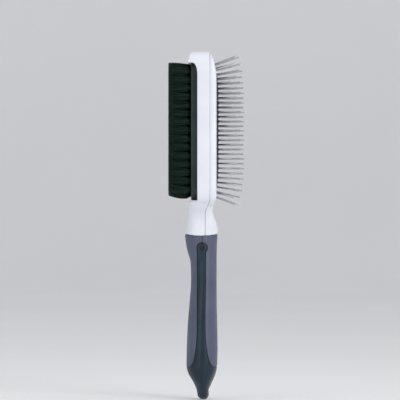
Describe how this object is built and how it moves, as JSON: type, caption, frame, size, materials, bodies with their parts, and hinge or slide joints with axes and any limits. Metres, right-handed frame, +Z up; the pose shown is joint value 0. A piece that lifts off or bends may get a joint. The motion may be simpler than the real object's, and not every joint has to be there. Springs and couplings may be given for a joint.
{
  "type": "double-sided pet brush",
  "caption": "Double-sided grooming brush with a bristle block on one face of the head, sprung steel pins in a rubber cushion on the other, and a soft-grip handle with a hanging hole.",
  "frame": {"origin": "centre of the hanging hole in the tip of the handle", "axes": "+Z up the handle to the head, +X towards the pins, -X towards the bristles, +Y across the head"},
  "size_m": [0.0492, 0.06, 0.2246],
  "materials": {
    "white_shell": "glossy",
    "bristle_block": "satin",
    "bristle": "matte",
    "anchor_metal": "satin",
    "screw_steel": "satin",
    "plate_plastic": "matte",
    "core_plastic": "satin",
    "grip_soft": "matte",
    "pin_dark": "satin",
    "cushion_rubber": "matte",
    "pin_steel": "polished"
  },
  "bodies": {
    "frame": {"frame_bristle_side": "white_shell", "frame_pin_side": "white_shell", "bristle_base": "bristle_block", "bristle_row_1": "bristle", "bristle_row_2": "bristle", "bristle_row_3": "bristle", "bristle_row_4": "bristle", "bristle_row_5": "bristle", "bristle_row_6": "bristle", "bristle_row_7": "bristle", "bristle_row_8": "bristle", "bristle_row_9": "bristle", "tuft_anchors": "anchor_metal", "base_screws": "screw_steel", "cushion_plate": "plate_plastic", "handle_core": "core_plastic", "grip_bristle_side": "grip_soft", "grip_pin_side": "grip_soft", "tang_pin": "pin_dark"},
    "pin_field": {"pin_cushion": "cushion_rubber", "pin_row_1": "pin_steel", "pin_row_2": "pin_steel", "pin_row_3": "pin_steel", "pin_row_4": "pin_steel", "pin_row_5": "pin_steel", "pin_row_6": "pin_steel", "pin_row_7": "pin_steel", "pin_row_8": "pin_steel", "pin_row_9": "pin_steel"}
  },
  "joints": [
    {"name": "cushion_press", "type": "slide", "parent": "frame", "child": "pin_field", "axis": [-1, 0, 0], "range_m": [0, 0.0018], "stiffness_N_per_m": 2500, "deforming": ["pin_cushion"]}
  ]
}
